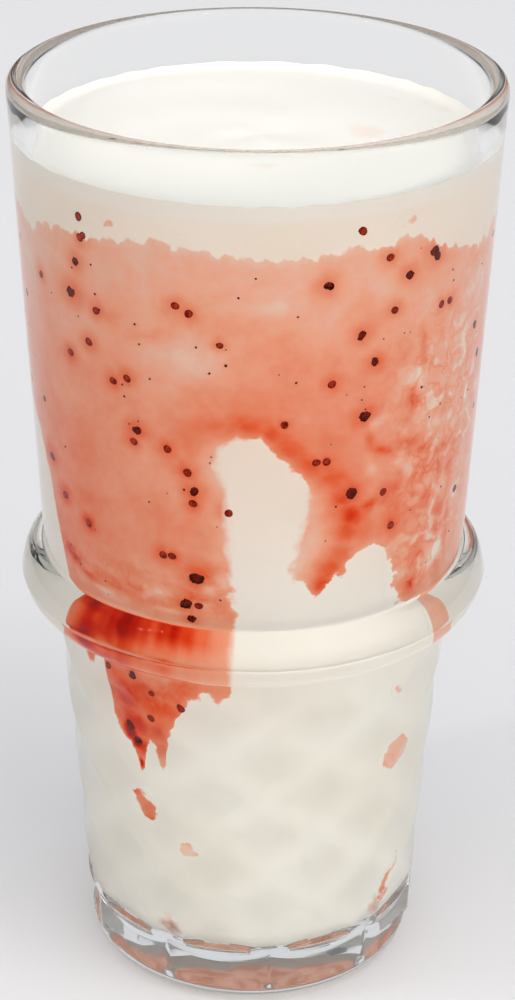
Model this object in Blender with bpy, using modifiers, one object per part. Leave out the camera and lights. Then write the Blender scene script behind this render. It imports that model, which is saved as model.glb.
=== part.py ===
"""A strawberry smoothie in a pressed glass tumbler.

The tumbler is turned, with a solid ring round its middle and a lattice of diamonds
pressed into its lower half. White milk drink fills it to just under the rim. A film of
strawberry puree with seeds lines the inside of the wall above the ring and runs down in
drips, with bare milk between them.

Metres, +Z up, origin at the middle of the foot. An angle round the glass is in degrees,
0 at the front (-Y) and growing towards +X.
"""

import random
from math import atan2, cos, degrees, hypot, pi, radians, sin, sqrt, tau

import bmesh
import bpy
from mathutils import Matrix, Vector
from mathutils.geometry import intersect_point_line

MM = 0.001

# The glass: heights and radii
HEIGHT = 150 * MM
RIM_RADIUS = 37.3 * MM
RIM_WALL = 2.87 * MM
TUBE_FOOT = (33.7 * MM, 74.1 * MM)  # radius and height where the plain wall meets the ring
RING_RADIUS = 37.3 * MM
RING_HEIGHT = 69.2 * MM
RING_HALF = 4.9 * MM
BODY_TOP = (32.1 * MM, 64.3 * MM)  # where the body leaves the ring
BODY_FOOT = (27.6 * MM, 4 * MM)
BODY_SLOPE = 0.0466
BODY_CURVE = 0.473  # per metre: the body flares a little faster towards the ring
FOOT_RADIUS = 27.1 * MM
FOOT_HEIGHT = 3.2 * MM
FOOT_FLAT = 23.2 * MM
PANEL_FOOT = 4.1 * MM

# The inside of the glass
FLOOR = 9.5 * MM
FLOOR_CORNER = 4 * MM
BORE_FOOT = 24.5 * MM
BORE_NECK = (28.5 * MM, 66 * MM)
BORE_SHOULDER = (31.3 * MM, 90 * MM)

# The pressed lattice: ten diamonds to a round
DIAMONDS = 10
DIAMOND_WIDE = 360 / DIAMONDS
DIAMOND_TALL = 14.4 * MM
LATTICE_FOOT = 11.9 * MM
LATTICE_TOP = LATTICE_FOOT + 3.5 * DIAMOND_TALL
FIRST_CORNER = 7  # degrees: the corner of a diamond nearest the front
DIAMOND_DEPTH = 0.75 * MM
SCALLOP_HEIGHT = 10.9 * MM  # the upper edge of the foot's flat panels, at their corners
SCALLOP_DIP = 2.4 * MM

# The drink and the film on the wall
DRINK_TOP = 141.6 * MM
GAP = 0.33 * MM
FILM_OUT = 0.7 * MM  # from the wall to the film's outer face
FILM_THICK = 0.8 * MM
FILM_IN = FILM_OUT + FILM_THICK + GAP
FILM_TOP = 135.2 * MM
FILM_LEDGES = (27 * MM, 137.4 * MM)  # the drink stands back from the wall between these
SEEN_TURN = 1.063  # the wall bends the view: what shows at 10 degrees lies at 10.63
SEEN_DROP = 1 * MM  # and about as much lower

# How finely round pieces are turned
GLASS_STEPS = 60
DRINK_STEPS = 40
FILM_ROW = 4.6 * MM
TURN_MERGE = 0.00001

# Where the film ends, as it shows through the wall: (angle, height in mm)
LOWER_EDGE = (
    (-180, 86), (-165, 92), (-152, 74), (-140, 71), (-130, 88), (-112, 96), (-96, 112),
    (-80, 112), (-68, 105), (-62, 90), (-57, 74), (-48, 66), (-41, 58), (-37, 50),
    (-33, 45), (-29, 50), (-23, 47), (-18, 56), (-12, 61), (-6, 64), (40, 64), (46, 72),
    (56, 67), (70, 70), (84, 82), (100, 78), (112, 66), (124, 70), (136, 90), (150, 98),
    (166, 88), (180, 86),
)
BARE_ARCHES = (
    (-4.5, 55), (-4.5, 96), (-3, 106), (2, 105), (8, 102), (13.6, 98), (11, 92), (9, 87),
    (12, 82), (15, 80), (19, 83), (28, 87), (36, 87), (41, 81), (45, 74), (45, 55),
)
BACK_ARCH = ((-176, 84), (-172, 104), (-163, 110), (-156, 100), (-158, 84))
FLECKS = {  # name: (angle, height in mm, half width, half height)
    "puree_fleck_left": (-35, 37, 2.6, 2.9),
    "puree_fleck_low": (-20, 30.5, 1.9, 1.6),
    "puree_fleck_right": (51, 44, 3.4, 2.6),
}
FLECK_SIDES = 12

# Seeds that show through the wall: (angle, height in mm, length in mm)
SEEDS_IN_VIEW = (
    (-43, 134.2, 1.5), (-45, 130, 1.7), (-47, 125, 2.3), (-60, 125, 1.4), (-39, 123.5, 1.5),
    (-18, 127, 1.4), (-15, 126, 1.5), (-42, 118, 1.6), (-49, 115, 1.5), (-35, 113, 1.4),
    (-31, 114, 1.4), (-8, 121.5, 1.3), (16, 130.5, 1.8), (31, 133.4, 1.5), (44, 132.4, 2.2),
    (36.5, 130, 1.8), (33, 125, 1.4), (24.6, 122, 1.8), (28.6, 117.4, 1.7), (18, 115, 1.5),
    (48, 123.5, 1.4), (51, 123.5, 1.4), (27, 109, 2.3), (7, 109, 1.3), (-29, 106, 1.8),
    (-30, 104, 1.4), (-21, 104, 1.5), (-16, 100.5, 1.6), (-14.5, 97.5, 1.8),
    (-14.7, 95.5, 1.5), (-6, 94.5, 1.5), (15, 102.5, 1.4), (17.4, 102.5, 1.5),
    (25, 96.5, 2.2), (33.4, 95.4, 1.5), (-62, 94.6, 2), (-56, 89.5, 1.6), (-46.5, 87, 1.6),
    (-23, 86, 1.5), (-20.5, 86, 1.4), (-14, 83, 2.6), (-17, 78, 2.4), (-14, 78, 1.5),
    (-36, 62, 1.8), (-30, 59, 1.5),
)
SEED_WIDE = 0.62  # of its length
SEED_HALF_DEEP = 0.42 * MM
SEED_SIDES = 5
HIDDEN_SEEDS = 26
HIDDEN_FROM, HIDDEN_TO = 66, 292  # degrees: the part of the wall that the front hides
SEED_SPACING = 5 * MM
RANDOM_SEED = 12


def clear_scene():
    for obj in list(bpy.data.objects):
        bpy.data.objects.remove(obj, do_unlink=True)


def collection(name):
    made = bpy.data.collections.new(name)
    bpy.context.scene.collection.children.link(made)
    return made


def material(name, colour, roughness, transmission=0.0):
    made = bpy.data.materials.new(name)
    made.use_nodes = True
    made.diffuse_color = (*colour, 1)
    shader = made.node_tree.nodes["Principled BSDF"]
    shader.inputs["Base Color"].default_value = (*colour, 1)
    shader.inputs["Roughness"].default_value = roughness
    shader.inputs["Transmission Weight"].default_value = transmission
    return made


def between(value, low, high):
    """The share of the way from low to high, held to 0 and 1."""
    return min(max((value - low) / (high - low), 0), 1)


def blend(start, end, share):
    return start + (end - start) * share


def arc(centre, radii, start, end, steps):
    """Points of an ellipse from one angle in degrees to another, both ends included."""
    angles = [radians(blend(start, end, i / steps)) for i in range(steps + 1)]
    return [(centre[0] + radii[0] * cos(a), centre[1] + radii[1] * sin(a)) for a in angles]


def body_radius(z):
    """The lower body's outer radius at the corners of its diamonds."""
    rise = z - BODY_FOOT[1]
    return BODY_FOOT[0] + BODY_SLOPE * rise + BODY_CURVE * rise * rise


def bore_radius(z):
    """The inside of the wall, from the floor's corner up to the rim."""
    corner_top = FLOOR + FLOOR_CORNER
    if z >= BORE_SHOULDER[1]:
        share = between(z, BORE_SHOULDER[1], HEIGHT - RIM_WALL / 2)
        return blend(BORE_SHOULDER[0], RIM_RADIUS - RIM_WALL, share)
    if z >= BORE_NECK[1]:
        share = between(z, BORE_NECK[1], BORE_SHOULDER[1])
        return blend(BORE_NECK[0], BORE_SHOULDER[0], share * share * (3 - 2 * share))
    if z >= corner_top:
        return blend(BORE_FOOT, BORE_NECK[0], between(z, corner_top, BORE_NECK[1]))
    drop = corner_top - z
    return BORE_FOOT - FLOOR_CORNER + sqrt(max(FLOOR_CORNER**2 - drop**2, 0))


def heights(start, end, steps):
    return [blend(start, end, i / steps) for i in range(steps + 1)]


def bore_profile():
    """The inside of the glass from the middle of its floor up to the lip."""
    corner = (BORE_FOOT - FLOOR_CORNER, FLOOR + FLOOR_CORNER)
    points = [(0, FLOOR), (corner[0] * 0.6, FLOOR)]
    points += arc(corner, (FLOOR_CORNER, FLOOR_CORNER), -90, 0, 3)
    points += [(bore_radius(z), z) for z in heights(BORE_NECK[1], BORE_SHOULDER[1], 4)]
    return points


def lip_profile():
    half = RIM_WALL / 2
    return arc((RIM_RADIUS - half, HEIGHT - half), (half, half), 180, 0, 6)


def ring_profile():
    """The ring bulges from the tube's radius above and from the body's below."""
    upper = arc((TUBE_FOOT[0], RING_HEIGHT), (RING_RADIUS - TUBE_FOOT[0], RING_HALF), 90, 0, 4)
    lower = arc((BODY_TOP[0], RING_HEIGHT), (RING_RADIUS - BODY_TOP[0], RING_HALF), 0, -90, 4)
    return upper + lower[1:]


def foot_profile():
    lattice_rows = 21
    points = [(body_radius(z), z) for z in heights(LATTICE_TOP, LATTICE_FOOT, lattice_rows)]
    points += [(body_radius(z), z) for z in (SCALLOP_HEIGHT, PANEL_FOOT)]
    heel = (FOOT_FLAT, FOOT_HEIGHT)
    points += arc(heel, (FOOT_RADIUS - FOOT_FLAT, FOOT_HEIGHT), 0, -90, 3)
    return points + [(0, 0)]


def turned(name, profile, steps):
    """An object whose profile of (radius, height) points is turned round Z."""
    mesh = bpy.data.meshes.new(name)
    edges = [(i, i + 1) for i in range(len(profile) - 1)]
    mesh.from_pydata([(radius, 0, z) for radius, z in profile], edges, [])
    obj = bpy.data.objects.new(name, mesh)
    bpy.context.scene.collection.objects.link(obj)
    screw = obj.modifiers.new("Turn", "SCREW")
    screw.axis = "Z"
    screw.angle = tau
    screw.steps = screw.render_steps = steps
    screw.use_merge_vertices = True
    screw.merge_threshold = TURN_MERGE
    screw.use_smooth_shade = True
    return obj


def apply_modifiers(obj):
    """Gives the object its mesh as its modifiers leave it."""
    graph = bpy.context.evaluated_depsgraph_get()
    made = bpy.data.meshes.new_from_object(obj.evaluated_get(graph))
    made.name = obj.name
    obj.modifiers.clear()
    obj.data = made


def finish(obj, group, look, crease=35):
    """Puts a finished piece in its collection, with its material and shading."""
    for old in list(obj.users_collection):
        old.objects.unlink(obj)
    group.objects.link(obj)
    obj.data.materials.clear()
    obj.data.materials.append(look)
    for face in obj.data.polygons:
        face.material_index = 0
    obj.data.shade_smooth()
    obj.data.set_sharp_from_angle(angle=radians(crease))


def angle_of(point):
    return degrees(atan2(point[0], -point[1]))


def on_wall(angle, z, inward):
    """The point at this angle and height, this far inside the wall."""
    radius = bore_radius(z) - inward
    return Vector((radius * sin(radians(angle)), -radius * cos(radians(angle)), z))


def diamond_depth(angle, z):
    """How far the lattice is pressed in: 0 along its ridges, 1 in the middle of a diamond."""
    across = (angle - FIRST_CORNER) / DIAMOND_WIDE
    up = (z - LATTICE_FOOT) / DIAMOND_TALL
    rising = 2 * abs((across + up) % 1 - 0.5)
    falling = 2 * abs((across - up) % 1 - 0.5)
    return (1 - rising**2) * (1 - falling**2)


def panel_share(angle):
    """0 at the corners of the foot's ten flat panels and 1 at their middles."""
    from_middle = (angle - FIRST_CORNER) % DIAMOND_WIDE - DIAMOND_WIDE / 2
    return 1 - (2 * from_middle / DIAMOND_WIDE) ** 2


def panel_scale(angle):
    from_middle = (angle - FIRST_CORNER) % DIAMOND_WIDE - DIAMOND_WIDE / 2
    return cos(radians(DIAMOND_WIDE / 2)) / cos(radians(from_middle))


def press(mesh):
    """Presses the lattice and the foot's flat panels into the outside of the glass."""
    near = 0.01 * MM
    for vertex in mesh.vertices:
        point = vertex.co
        radius, angle = hypot(point.x, point.y), angle_of(point)
        if radius < body_radius(point.z) - near:
            continue
        if LATTICE_FOOT - near < point.z < LATTICE_TOP + near:
            fade = 1 - between(point.z, LATTICE_TOP - DIAMOND_TALL / 3, LATTICE_TOP)
            scale = 1 - DIAMOND_DEPTH * fade * diamond_depth(angle, point.z) / radius
        elif PANEL_FOOT - near < point.z < SCALLOP_HEIGHT + near:
            scale = panel_scale(angle)
            if point.z > SCALLOP_HEIGHT - near:
                point.z -= SCALLOP_DIP * panel_share(angle)
        else:
            continue
        point.x *= scale
        point.y *= scale


def split_along_ridges(mesh):
    """Splits each pressed quad along its higher diagonal, so that the ridges stay crisp."""
    bm = bmesh.new()
    bm.from_mesh(mesh)
    for face in list(bm.faces):
        low, high = LATTICE_FOOT - MM / 2, LATTICE_TOP + MM / 2
        pressed = all(low < v.co.z < high and v.co.xy.length > bore_radius(v.co.z) + MM
                      for v in face.verts)
        if len(face.verts) != 4 or not pressed:
            continue
        corners = list(face.verts)
        reach = [v.co.xy.length - body_radius(v.co.z) for v in corners]
        first = 0 if reach[0] + reach[2] >= reach[1] + reach[3] else 1
        bmesh.utils.face_split(face, corners[first], corners[first + 2])
    bm.to_mesh(mesh)
    bm.free()


def make_glass(group):
    profile = bore_profile() + lip_profile() + ring_profile() + foot_profile()
    obj = turned("glass", profile, GLASS_STEPS)
    apply_modifiers(obj)
    # The profile starts at +X. It is turned so that a column of points meets a corner.
    obj.data.transform(Matrix.Rotation(radians(FIRST_CORNER - 90), 4, "Z"))
    press(obj.data)
    split_along_ridges(obj.data)
    finish(obj, group, material("clear glass", (0.93, 0.95, 0.95), 0.03, 1.0), crease=50)


def drink_radius(z):
    inside = FILM_LEDGES[0] < z < FILM_LEDGES[1]
    return bore_radius(z) - (FILM_IN if inside else GAP)


def make_drink(group):
    """Turned to the level in the glass, and set back from the wall where the film lies."""
    step = MM / 2
    low, high = FILM_LEDGES
    rounding = 0.4 * MM
    edge = drink_radius(DRINK_TOP)
    points = [(0, DRINK_TOP), (edge - rounding, DRINK_TOP), (edge, DRINK_TOP - rounding)]
    rows = [high, high - step, *heights(BORE_SHOULDER[1], BORE_NECK[1], 6), low + step, low]
    points += [(drink_radius(z), z) for z in rows]
    corner = (BORE_FOOT - FLOOR_CORNER - GAP, FLOOR + FLOOR_CORNER + GAP)
    points += arc(corner, (FLOOR_CORNER, FLOOR_CORNER), 0, -90, 3)
    points += [(0, FLOOR + GAP)]
    obj = turned("drink", points, DRINK_STEPS)
    apply_modifiers(obj)
    finish(obj, group, material("milk drink", (0.87, 0.83, 0.76), 0.25))


def placed(angle, height):
    """Where on the wall a spot lies that shows at this angle and height, in mm."""
    return angle * SEEN_TURN, height * MM - SEEN_DROP


def unrolled(angle, z):
    """The wall laid flat, in metres, so that distances on it are true."""
    return Vector((radians(angle) * BORE_SHOULDER[0], z))


def lower_edge(angle):
    """The height where the film ends at this angle."""
    for start, end in zip(LOWER_EDGE, LOWER_EDGE[1:]):
        if start[0] <= angle <= end[0]:
            share = between(angle, start[0], end[0])
            return blend(start[1], end[1], share) * MM - SEEN_DROP
    return LOWER_EDGE[0][1] * MM


def upper_edge(angle):
    """The film's upper edge is scalloped by small bubbles."""
    turn = radians(angle)
    scallops = 0.5 * sin(23 * turn) + 0.35 * sin(41 * turn + 1) + 0.5 * sin(5 * turn)
    return FILM_TOP + scallops * MM


def outside_by(point, outline):
    """The distance from an outline: positive outside it and negative inside."""
    least, inside = 1.0, False
    for start, end in zip(outline, outline[1:] + outline[:1]):
        nearest, share = intersect_point_line(point, start, end)
        nearest = start.lerp(end, min(max(share, 0), 1))
        least = min(least, (point - nearest.to_2d()).length)
        if (start.y > point.y) != (end.y > point.y):
            crossing = start.x + (point.y - start.y) * (end.x - start.x) / (end.y - start.y)
            inside ^= crossing > point.x
    return -least if inside else least


def bare_outlines():
    return [[unrolled(*placed(*spot)) for spot in outline] for outline in (BARE_ARCHES, BACK_ARCH)]


def film_cover(angle, z, bare):
    """How far this spot lies inside the film's outline: negative where the milk is bare."""
    seen = angle / SEEN_TURN
    spot = unrolled(angle, z)
    margins = [upper_edge(angle) - z, z - lower_edge(seen)]
    margins += [outside_by(spot, outline) for outline in bare]
    return min(margins)


def pull_to_edge(vertex, bare):
    """Moves a point on the film's border to where the outline runs, by half a row at most."""
    angle, z = angle_of(vertex.co), vertex.co.z
    probe = 0.1 * MM
    per_degree = radians(1) * BORE_SHOULDER[0]
    cover = film_cover(angle, z, bare)
    across = (film_cover(angle + probe / per_degree, z, bare) - cover) / probe
    up = (film_cover(angle, z + probe, bare) - cover) / probe
    steep = max(hypot(across, up), 0.5)
    move = min(max(-cover, -0.4 * FILM_ROW), 0.4 * FILM_ROW) / steep**2
    vertex.co = on_wall(angle + across * move / per_degree, z + up * move, FILM_OUT)


def drop_corner_contacts(bm):
    """Removes faces that meet the rest at one corner only, which would pinch the film."""
    pinched = True
    while pinched:
        pinched = [v for v in bm.verts if sum(e.is_boundary for e in v.link_edges) > 2]
        faces = {min(v.link_faces, key=lambda f: len([e for e in f.edges if not e.is_boundary]))
                 for v in pinched}
        bmesh.ops.delete(bm, geom=list(faces), context="FACES")


def open_film(name):
    """The film's outer face: a turned sheet with the bare places taken out."""
    rows = round((FILM_TOP + 2 * MM - FILM_LEDGES[0]) / FILM_ROW)
    levels = [FILM_TOP + 2 * MM - FILM_ROW * i for i in range(rows)]
    obj = turned(name, [(bore_radius(z) - FILM_OUT, z) for z in levels], GLASS_STEPS)
    apply_modifiers(obj)
    bare = bare_outlines()
    bm = bmesh.new()
    bm.from_mesh(obj.data)
    gone = []
    for face in bm.faces:
        middle = face.calc_center_median()
        if film_cover(angle_of(middle), middle.z, bare) < 0:
            gone.append(face)
    bmesh.ops.delete(bm, geom=gone, context="FACES")
    drop_corner_contacts(bm)
    for vertex in [v for v in bm.verts if v.is_boundary]:
        pull_to_edge(vertex, bare)
    bm.to_mesh(obj.data)
    bm.free()
    return obj


def thicken(obj):
    solidify = obj.modifiers.new("Thickness", "SOLIDIFY")
    solidify.thickness = FILM_THICK
    solidify.offset = -1
    apply_modifiers(obj)


def seed_places():
    """Every seed as (angle, height, length): those in view, then hidden ones like them."""
    places = [(*placed(angle, height), length * MM) for angle, height, length in SEEDS_IN_VIEW]
    bare = bare_outlines()
    draw = random.Random(RANDOM_SEED)
    while len(places) < len(SEEDS_IN_VIEW) + HIDDEN_SEEDS:
        angle = (draw.uniform(HIDDEN_FROM, HIDDEN_TO) + 180) % 360 - 180
        z = draw.uniform(72 * MM, FILM_TOP - 2 * MM)
        length = draw.uniform(1.3, 2.2) * MM
        apart = min((unrolled(angle, z) - unrolled(a, h)).length for a, h, _ in places)
        if apart > SEED_SPACING and film_cover(angle, z, bare) > 2 * MM:
            places.append((angle, z, length))
    return places


def seed(angle, z, length, lean, group):
    """One seed: a small ellipsoid that lies flat in the film and stands proud of it."""
    mesh = bpy.data.meshes.new("seed")
    bm = bmesh.new()
    rings = SEED_SIDES - 1
    bmesh.ops.create_uvsphere(bm, u_segments=SEED_SIDES, v_segments=rings, radius=1)
    size = Matrix.Diagonal((length * SEED_WIDE / 2, SEED_HALF_DEEP, length / 2, 1))
    lay = Matrix.Rotation(radians(angle), 4, "Z") @ Matrix.Rotation(lean, 4, "Y")
    centre = on_wall(angle, z, FILM_OUT)
    bmesh.ops.transform(bm, matrix=Matrix.Translation(centre) @ lay @ size, verts=bm.verts)
    bm.to_mesh(mesh)
    bm.free()
    group.objects.link(bpy.data.objects.new("seed", mesh))


def fuse_seeds(film, cutters):
    """Joins every seed to the film by one union."""
    draw = random.Random(RANDOM_SEED)
    for angle, z, length in seed_places():
        seed(angle, z, length, draw.uniform(0, pi), cutters)
    union = film.modifiers.new("Seeds", "BOOLEAN")
    union.operation = "UNION"
    union.operand_type = "COLLECTION"
    union.collection = cutters
    union.solver = "EXACT"
    apply_modifiers(film)
    for obj in list(cutters.objects):
        bpy.data.objects.remove(obj, do_unlink=True)


def make_puree(group, cutters):
    film = open_film("strawberry_puree")
    thicken(film)
    fuse_seeds(film, cutters)
    finish(film, group, material("strawberry puree", (0.78, 0.2, 0.1), 0.3))


def make_fleck(name, angle, height, half_wide, half_tall, group, look):
    """A small patch of puree on the wall: a disc bent to the wall and thickened."""
    mesh = bpy.data.meshes.new(name)
    bm = bmesh.new()
    bmesh.ops.create_circle(bm, cap_ends=True, cap_tris=True, segments=FLECK_SIDES, radius=1)
    middle_angle, middle_z = placed(angle, height)
    per_degree = radians(1) * bore_radius(middle_z)
    for vertex in bm.verts:
        turn = middle_angle + vertex.co.x * half_wide * MM / per_degree
        vertex.co = on_wall(turn, middle_z + vertex.co.y * half_tall * MM, FILM_OUT)
    bm.to_mesh(mesh)
    bm.free()
    obj = bpy.data.objects.new(name, mesh)
    bpy.context.scene.collection.objects.link(obj)
    thicken(obj)
    finish(obj, group, look)


def main():
    clear_scene()
    group = collection("strawberry smoothie")
    cutters = collection("cutters")
    make_glass(group)
    make_drink(group)
    make_puree(group, cutters)
    look = material("puree fleck", (0.8, 0.3, 0.2), 0.3)
    for name, (angle, height, half_wide, half_tall) in FLECKS.items():
        make_fleck(name, angle, height, half_wide, half_tall, group, look)


main()
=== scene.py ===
# %% [markdown]
# # A strawberry smoothie in a pressed glass tumbler
#
# The real thing is a heavy moulded tumbler, filled with white milk drink. Strawberry puree
# was smeared over the inside of the wall first, so it shows through the glass as a stained,
# seeded film with drips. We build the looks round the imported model: first the camera and
# light, then the clear glass, the milk, the painted film, its seeds, and the small flecks.

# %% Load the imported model
import random
from math import cos, pi, radians, sin, tau

import bmesh
import bpy
import numpy as np
from mathutils import Matrix, Vector


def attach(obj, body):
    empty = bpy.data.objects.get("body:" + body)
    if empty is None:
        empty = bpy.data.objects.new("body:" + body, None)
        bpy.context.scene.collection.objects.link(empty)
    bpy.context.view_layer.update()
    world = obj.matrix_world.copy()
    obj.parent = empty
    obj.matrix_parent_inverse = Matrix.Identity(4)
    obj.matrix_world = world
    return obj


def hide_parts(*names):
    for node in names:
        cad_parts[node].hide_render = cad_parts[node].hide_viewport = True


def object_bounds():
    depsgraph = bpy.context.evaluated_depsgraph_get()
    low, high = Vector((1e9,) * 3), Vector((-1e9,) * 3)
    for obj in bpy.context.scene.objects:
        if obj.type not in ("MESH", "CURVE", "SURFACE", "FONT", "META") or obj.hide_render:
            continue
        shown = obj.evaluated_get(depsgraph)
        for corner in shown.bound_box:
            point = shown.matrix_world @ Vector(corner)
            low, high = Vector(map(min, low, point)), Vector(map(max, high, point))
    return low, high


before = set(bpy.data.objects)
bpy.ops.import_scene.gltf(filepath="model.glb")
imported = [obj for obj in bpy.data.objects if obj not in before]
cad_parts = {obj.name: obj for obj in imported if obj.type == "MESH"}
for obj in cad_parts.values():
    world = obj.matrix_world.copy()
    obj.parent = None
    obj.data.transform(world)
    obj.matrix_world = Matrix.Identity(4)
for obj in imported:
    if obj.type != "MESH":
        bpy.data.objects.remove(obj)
cad_low, cad_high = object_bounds()
print("nodes", sorted(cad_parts), "box", cad_low, cad_high)

# %% [markdown]
# ## Small helpers
#
# The model is in metres, but a glass is easier to think about in millimetres, so every size
# below is in millimetres until it becomes a point. Colours are the hex values that a colour
# picker shows. A shader wants linear light, so one function turns them.

# %% Units, colours and one node at a time
MM = 0.001


def linear(hex_value, alpha=1.0):
    """An sRGB hex colour as the linear values that a shader takes."""
    shares = [int(hex_value[i:i + 2], 16) / 255 for i in (1, 3, 5)]
    return (*[s / 12.92 if s <= 0.04045 else ((s + 0.055) / 1.055) ** 2.4 for s in shares], alpha)


def add(tree, kind, *values, **named):
    """Adds a shader node. Numbers, colours, sockets and nodes fill its sockets, in order or by name.

    A name in lower case is a setting of the node. A name with a capital is a socket's, with _
    for a space. A node that is given stands for the first of its outputs that is in use.
    """
    node = tree.nodes.new("ShaderNode" + kind)
    for name, value in named.items():
        if name.islower():
            setattr(node, name, value)
    sockets = [socket for socket in node.inputs if socket.enabled]
    by_name = {socket.name.replace(" ", "_"): socket for socket in reversed(sockets)}
    given = list(zip(sockets, values))
    given += [(by_name[name], value) for name, value in named.items() if not name.islower()]
    for socket, value in given:
        if isinstance(value, bpy.types.Node):
            value = next(output for output in value.outputs if output.enabled)
        if isinstance(value, bpy.types.NodeSocket):
            tree.links.new(value, socket)
        else:
            socket.default_value = value
    return node


def new_material(name):
    """An empty material, with its tree and the place of each spot in object space."""
    made = bpy.data.materials.new(name)
    made.use_nodes = True
    made.node_tree.nodes.clear()
    return made, made.node_tree, add(made.node_tree, "TexCoord").outputs["Object"]


COLOURS = {"data_type": "RGBA"}
EASED = {"interpolation_type": "SMOOTHSTEP"}


def blend(start, end, share):
    return start + (end - start) * share


def smooth(value, low, high):
    """0 below low, 1 above high, with an even ease between: one number or an array."""
    share = np.clip((value - low) / (high - low), 0, 1)
    return share * share * (3 - 2 * share)


print("milk white in linear light", [round(v, 3) for v in linear("#F2F0E8")])

# %% [markdown]
# ## The camera
#
# The photo was taken from close by, a little above the glass, looking down about 26 degrees.
# Its place was found by matching the rim, the ring and the foot, whose sizes we know. The
# lens isn't wide: the tube narrows downwards mostly because the glass itself does.

# %% Stand the camera where the photo was taken
CAMERA_PLACE = Vector((0, -360.63, 258.64)) * MM
LENS = 90.29
LOOK_DOWN = radians(26.434)
LOOK_ASIDE = radians(0.098)
CAMERA_ROLL = radians(0.609)


def aim(down, aside, roll):
    """The camera's turn, from how far it looks down and aside and how far it leans."""
    forward = Vector((sin(aside) * cos(down), cos(aside) * cos(down), -sin(down)))
    level = Vector((cos(aside), -sin(aside), 0))
    rise = level.cross(forward)
    right = cos(roll) * level + sin(roll) * rise
    up = cos(roll) * rise - sin(roll) * level
    return Matrix((right, up, -forward)).transposed().to_4x4()


camera = bpy.data.objects.new("camera", bpy.data.cameras.new("camera"))
camera.data.lens = LENS
camera.matrix_world = Matrix.Translation(CAMERA_PLACE) @ aim(LOOK_DOWN, LOOK_ASIDE, CAMERA_ROLL)
bpy.context.scene.collection.objects.link(camera)
bpy.context.scene.camera = camera
bpy.context.scene.view_settings.view_transform = "Standard"
print("camera distance in mm", round(CAMERA_PLACE.length / MM))

# %% [markdown]
# ## Light and floor
#
# Clear glass shows its surroundings more than itself. In an even white room it would all but
# vanish, so the room here is bright above and in front, like a big window behind the camera,
# and darker in a belt near the floor at the sides and the back: the belt is what draws the
# grey lines along the edges of the glass. Two soft lamps give the rim and the ring their
# highlights. The floor is a plain pale sheet.

# %% A bright room with a darker belt
ROOM_ABOVE = linear("#F4F6FA")
ROOM_FRONT = linear("#FFFBF4")
ROOM_BELT = linear("#6E7074")
BELT_TOP = (0.02, 0.42)  # heights on a unit sphere round the glass, between which the belt fades
WINDOW_HEAD = (0.4, 0.85)  # and those between which the window in front fades
WINDOW_SIDES = (0.1, -0.5)  # how far back it starts, and how far forward it is full
FRONT_LIGHT = 2.38
RIGHT_SHARE = 0.45  # how much brighter the window grows towards the right
SIDES_SHARE = 0.2  # and how much brighter towards both sides
ABOVE_LIGHT = 0.72
LIT_SPOT = (0, 0, 80)


def light_room():
    world = bpy.data.worlds.new("studio")
    world.use_nodes = True
    bpy.context.scene.world = world
    tree = world.node_tree
    tree.nodes.clear()
    split = add(tree, "SeparateXYZ", add(tree, "TexCoord").outputs["Generated"])
    height = add(tree, "MapRange", split.outputs["Z"], *BELT_TOP, **EASED)
    ahead = add(tree, "MapRange", split.outputs["Y"], *WINDOW_SIDES, **EASED)
    low = add(tree, "MapRange", split.outputs["Z"], *WINDOW_HEAD, 1.0, 0.0, **EASED)
    front = add(tree, "Math", ahead, low, operation="MULTIPLY")
    behind = add(tree, "Mix", height, ROOM_BELT, ROOM_ABOVE, **COLOURS)
    above = add(tree, "Background", behind, ABOVE_LIGHT)
    aside = add(tree, "Math", split.outputs["X"], FRONT_LIGHT * SIDES_SHARE, FRONT_LIGHT * RIGHT_SHARE,
                operation="MULTIPLY_ADD")
    stronger = add(tree, "Math", split.outputs["X"], aside, FRONT_LIGHT, operation="MULTIPLY_ADD")
    window = add(tree, "Background", ROOM_FRONT, stronger)
    add(tree, "OutputWorld", add(tree, "MixShader", front, above, window))


def soft_lamp(name, place, size, power, target):
    """A square lamp of this size in mm, aimed at a point in mm."""
    lamp = bpy.data.lights.new(name, "AREA")
    lamp.shape = "RECTANGLE"
    lamp.size, lamp.size_y = size[0] * MM, size[1] * MM
    lamp.energy = power
    obj = bpy.data.objects.new(name, lamp)
    obj.location = Vector(place) * MM
    obj.rotation_euler = (Vector(place) - Vector(target)).to_track_quat("Z", "Y").to_euler()
    bpy.context.scene.collection.objects.link(obj)


light_room()
soft_lamp("key", (250, -250, 900), (260, 60), 0.8, LIT_SPOT)
soft_lamp("fill", (-500, -200, 800), (60, 300), 0.7, LIT_SPOT)

# %% A plain pale floor
FLOOR_PALE = linear("#E4E4E7")
FLOOR_HALF = 2500


def matt_paper():
    """Uncoated paper: matt, with a faint mottle of its pulp about 3 mm wide."""
    made, tree, place = new_material("matt uncoated paper")
    pulp = add(tree, "TexNoise", place, Scale=1 / (3 * MM), Detail=3.0)
    rough = add(tree, "MapRange", pulp, 0.3, 0.7, 0.76, 0.84)
    add(tree, "OutputMaterial", add(tree, "BsdfPrincipled", FLOOR_PALE, Roughness=rough))
    return made


bpy.ops.mesh.primitive_plane_add(size=2 * FLOOR_HALF * MM)
floor = bpy.context.object
floor.name = "floor"
floor.location.z = cad_low[2] - 0.1 * MM
floor.data.materials.append(matt_paper())
print("floor at", round(floor.location.z / MM, 2), "mm")

# %% [markdown]
# ## The shape of the glass
#
# A pressed tumbler is a turned form: the plunger makes the inside, and the mould presses the
# ring, the diamonds and the foot's flat panels into the outside. We write the inside and the
# outside as radii that follow from the height. These are the same driving sizes as the
# model's, so the fine surface lies on the solid.

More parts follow.
